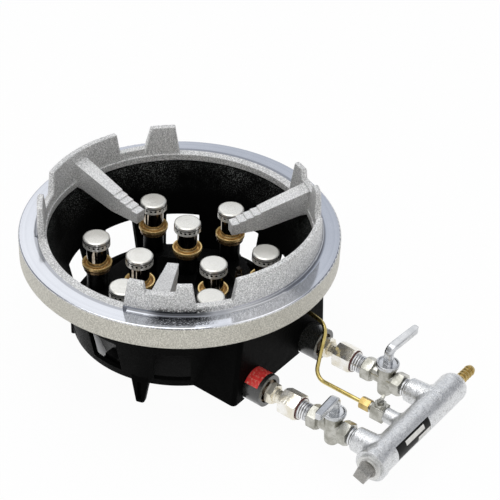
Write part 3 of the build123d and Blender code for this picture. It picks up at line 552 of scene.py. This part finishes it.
def paint_red_fibre():
    """Joint rings of dark red fibre, faced with a bright washer inside the rim."""
    tree, shader = finish("red_fibre")
    place = spot_on(tree)
    skin = use(tree, cast_skin, Grain_size=0.0006, Wave_size=0.003, Wave_share=0.3)
    off_train = off_axis(tree, calc(tree, "ABSOLUTE", place["X"]), tube_x, place["Z"], supply_z)
    fibre = step(tree, off_train, *washer_to_fibre)
    red = blend(tree, skin["Speck"], rgb(0.040, 0.006, 0.005), rgb(0.120, 0.015, 0.012))
    link(tree, shader, color=blend(tree, fibre, rgb(0.66, 0.65, 0.62), red),
         rough=level(tree, fibre, 0.20, 0.58), metal=level(tree, fibre, 1.0, 0.0),
         normal=bump(tree, skin["Height"], 0.0002, soft_edge(tree, 0.0003)))


def paint_tube_label():
    """Plain red foil with rubbed patches."""
    tree, shader = finish("label_red")
    marks = use(tree, handling, Size=0.010)
    rub = noise(tree, 420.0, 3.0, 0.65)
    red = blend(tree, marks["Cloud"], rgb(0.86, 0.055, 0.050), rgb(0.70, 0.030, 0.028))
    worn = both(tree, step(tree, rub, 0.50, 0.70), 0.6)
    link(tree, shader, color=blend(tree, worn, red, rgb(0.92, 0.52, 0.40)),
         rough=level(tree, marks["Cloud"], 0.26, 0.42), normal=bump(tree, rub, 0.00005))


def paint_name_plate():
    """Black plate with a bright edge and two blank pale fields."""
    tree, shader = finish("name_plate")
    x, y, z = spot_on(tree)
    turn = calc(tree, "ARCTAN2", calc(tree, "SUBTRACT", z, supply_z), calc(tree, "SUBTRACT", manifold_y, y))
    rise = calc(tree, "DIVIDE", turn, pi / 180)
    marks = use(tree, handling, Size=0.006)

    def field(x_low, x_high, low, high):
        return both(tree, band(tree, x, x_low, x_high, 0.0003), band(tree, rise, low, high, 0.8))

    face = field(*plate_face)
    pale = either(tree, field(*upper_field), field(*lower_field))
    black = blend(tree, marks["Cloud"], grey(0.003), grey(0.010))
    white = blend(tree, marks["Cloud"], rgb(0.78, 0.77, 0.74), rgb(0.66, 0.65, 0.62))
    link(tree, shader, color=blend(tree, face, rgb(0.72, 0.73, 0.74), blend(tree, pale, black, white)),
         rough=level(tree, marks["Cloud"], 0.30, 0.42), metal=level(tree, face, 0.9, 0.0), specular=0.15)


paint_pan_ring()
paint_body()
paint_burner()
paint_satin_casting()
plate("bright_brass", dark=(0.42, 0.30, 0.10), light=(0.62, 0.47, 0.20), rough=(0.16, 0.30), edge=0.0003,
      metal=0.85)
plate("pale_brass", dark=(0.50, 0.385, 0.12), light=(0.70, 0.57, 0.22), rough=(0.22, 0.34), edge=0.0002)
plate("jet_brass", dark=(0.80, 0.74, 0.60), light=(0.96, 0.93, 0.84), rough=(0.12, 0.24), edge=0.0005,
      metal=0.72)
plate("nickel", dark=(0.33, 0.325, 0.285), light=(0.54, 0.535, 0.495), rough=(0.20, 0.34), edge=0.0008)
plate("bright_nickel", dark=(0.80, 0.75, 0.63), light=(0.95, 0.94, 0.91), rough=(0.05, 0.15), edge=0.0008,
      metal=0.80)
plate("chrome_pipe", dark=(0.74, 0.75, 0.77), light=(0.92, 0.93, 0.95), rough=(0.08, 0.18), edge=0.0004,
      thread_depth=0.00035)
plate("zinc", dark=(0.52, 0.535, 0.55), light=(0.68, 0.69, 0.71), rough=(0.20, 0.32), edge=0.0012)
paint_end_plug()
paint_caps()
paint_collars()
paint_head_brass()
paint_red_fibre()
paint_tube_label()
paint_name_plate()


# Pieces that the solids don't carry

def wrap(name, first, last, centre, axis, sweep, thick):
    """Thin sheet on a round surface: a straight edge swung about the surface's axis, with a thickness."""
    shape = bmesh.new()
    ends = [shape.verts.new(first), shape.verts.new(last)]
    start = shape.edges.new(ends)
    bmesh.ops.spin(shape, geom=ends + [start], cent=centre, axis=axis, angle=radians(sweep), steps=14,
                   use_duplicate=False)
    bmesh.ops.solidify(shape, geom=shape.faces[:], thickness=thick)
    bmesh.ops.recalc_face_normals(shape, faces=shape.faces[:])
    corners = [edge for edge in shape.edges if abs(edge.calc_length() - thick) < thick / 4
               and len({face for vert in edge.verts for face in vert.link_faces}) == 4]
    bmesh.ops.bevel(shape, geom=corners, offset=sheet_corner, segments=3, profile=0.5, affect="EDGES",
                    material=-1)
    mesh = bpy.data.meshes.new(name)
    shape.to_mesh(mesh)
    shape.free()
    mesh.shade_smooth()
    mesh.set_sharp_from_angle(angle=radians(30))
    mesh.materials.append(bpy.data.materials[name])
    made = bpy.data.objects.new(name, mesh)
    bpy.context.scene.collection.objects.link(made)
    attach(made, "stove_base")
    return made


label_out, label_up = around(tube_radius + sheet_gap, label_start)
label_edge = [(label_out - tube_x, end, supply_z + label_up) for end in label_ends]
label = wrap("label_red", *label_edge, (-tube_x, 0, supply_z), (0, -1, 0), label_sweep, label_thick)

plate_out, plate_up = around(manifold_radius + sheet_gap, plate_start)
plate_edge = [(end, manifold_y + plate_out, supply_z + plate_up) for end in plate_ends]
name_plate = wrap("name_plate", *plate_edge, (0, manifold_y, supply_z), (-1, 0, 0), plate_sweep,
                  plate_thick)


# Studio

def build_floor():
    """Plain white paper. It glows where it is seen, straight or mirrored, and keeps the body's shadow."""
    mesh = bpy.data.meshes.new("floor")
    shape = bmesh.new()
    bmesh.ops.create_circle(shape, cap_ends=True, segments=96, radius=paper_radius)
    bmesh.ops.translate(shape, verts=shape.verts, vec=(0, 0, -paper_drop))
    shape.to_mesh(mesh)
    shape.free()
    floor = bpy.data.objects.new("floor", mesh)
    bpy.context.scene.collection.objects.link(floor)
    paper = bpy.data.materials.new("paper")
    paper.use_nodes = True
    tree = paper.node_tree
    tree.nodes.clear()
    path = put(tree, "ShaderNodeLightPath").outputs
    mirrored = either(tree, path["Is Glossy Ray"], path["Is Transmission Ray"])
    seen = either(tree, path["Is Camera Ray"], mirrored)
    x, y = spot_on(tree)[:2]
    open_floor = either(tree, step(tree, distance(tree, x, y), *middle_shadow),
                        step(tree, off_axis(tree, x, back_shadow_x, y, back_shadow_y), *back_shadow))
    share = both(tree, seen, both(tree, open_floor, 0.96))
    matte = put(tree, "ShaderNodeBsdfDiffuse", {"Color": grey(0.86)})
    glow = put(tree, "ShaderNodeEmission", {"Color": grey(1.0), "Strength": 1.0})
    mix = put(tree, "ShaderNodeMixShader", {0: share, 1: matte.outputs[0], 2: glow.outputs[0]})
    put(tree, "ShaderNodeOutputMaterial", {"Surface": mix.outputs[0]})
    mesh.materials.append(paper)


def build_room():
    """White horizon and ceiling, a pale wall in front, and a dim one behind with a pale panel on it."""
    world = bpy.data.worlds.new("studio")
    bpy.context.scene.world = world
    world.use_nodes = True
    tree = world.node_tree
    tree.nodes.clear()
    way = put(tree, "ShaderNodeTexCoord").outputs["Generated"]
    height = put(tree, "ShaderNodeSeparateXYZ", {0: way}).outputs[2]

    def facing(direction, spread):
        """Part of the room that lies in one direction."""
        return step(tree, arrow(tree, "DOT_PRODUCT", way, direction, name="Value"), *spread)

    wall = blend(tree, facing(front_wall, front_wall_spread), rgb(0.27, 0.28, 0.31), grey(0.84))
    panel = blend(tree, facing(panel_light, panel_light_spread), rgb(0.68, 0.71, 0.77), grey(1.35))
    wall = blend(tree, facing(back_panel, back_panel_spread), wall, panel)
    wall = blend(tree, step(tree, height, *horizon_to_wall), grey(1.0), wall)
    room = blend(tree, step(tree, height, *wall_to_ceiling), wall, grey(1.0))
    glow = put(tree, "ShaderNodeBackground", {"Color": room, "Strength": 1.0})
    put(tree, "ShaderNodeOutputWorld", {"Surface": glow.outputs[0]})


def hang_lamp():
    """One large soft lamp overhead."""
    lamp = bpy.data.lights.new("overhead", "AREA")
    lamp.shape = "SQUARE"
    lamp.size = lamp_size
    lamp.energy = lamp_power
    holder = bpy.data.objects.new("overhead", lamp)
    holder.location = lamp_place
    holder.rotation_mode = "QUATERNION"
    holder.rotation_quaternion = (Vector(lamp_aim) - Vector(lamp_place)).to_track_quat("-Z", "Y")
    bpy.context.scene.collection.objects.link(holder)


def build_camera():
    """Camera at the photograph's place, with its slight roll."""
    lens = bpy.data.cameras.new("camera")
    lens.sensor_width = sensor_mm
    lens.lens = lens_mm
    lens.clip_start, lens.clip_end = 0.05, 20.0
    holder = bpy.data.objects.new("camera", lens)
    holder.location = camera_place
    holder.rotation_mode = "QUATERNION"
    roll = Quaternion((0, 0, 1), radians(camera_roll))
    holder.rotation_quaternion = Vector(camera_look).to_track_quat("-Z", "Y") @ roll
    bpy.context.scene.collection.objects.link(holder)
    bpy.context.scene.camera = holder


build_floor()
build_room()
hang_lamp()
build_camera()
bpy.context.scene.view_settings.view_transform = "Standard"
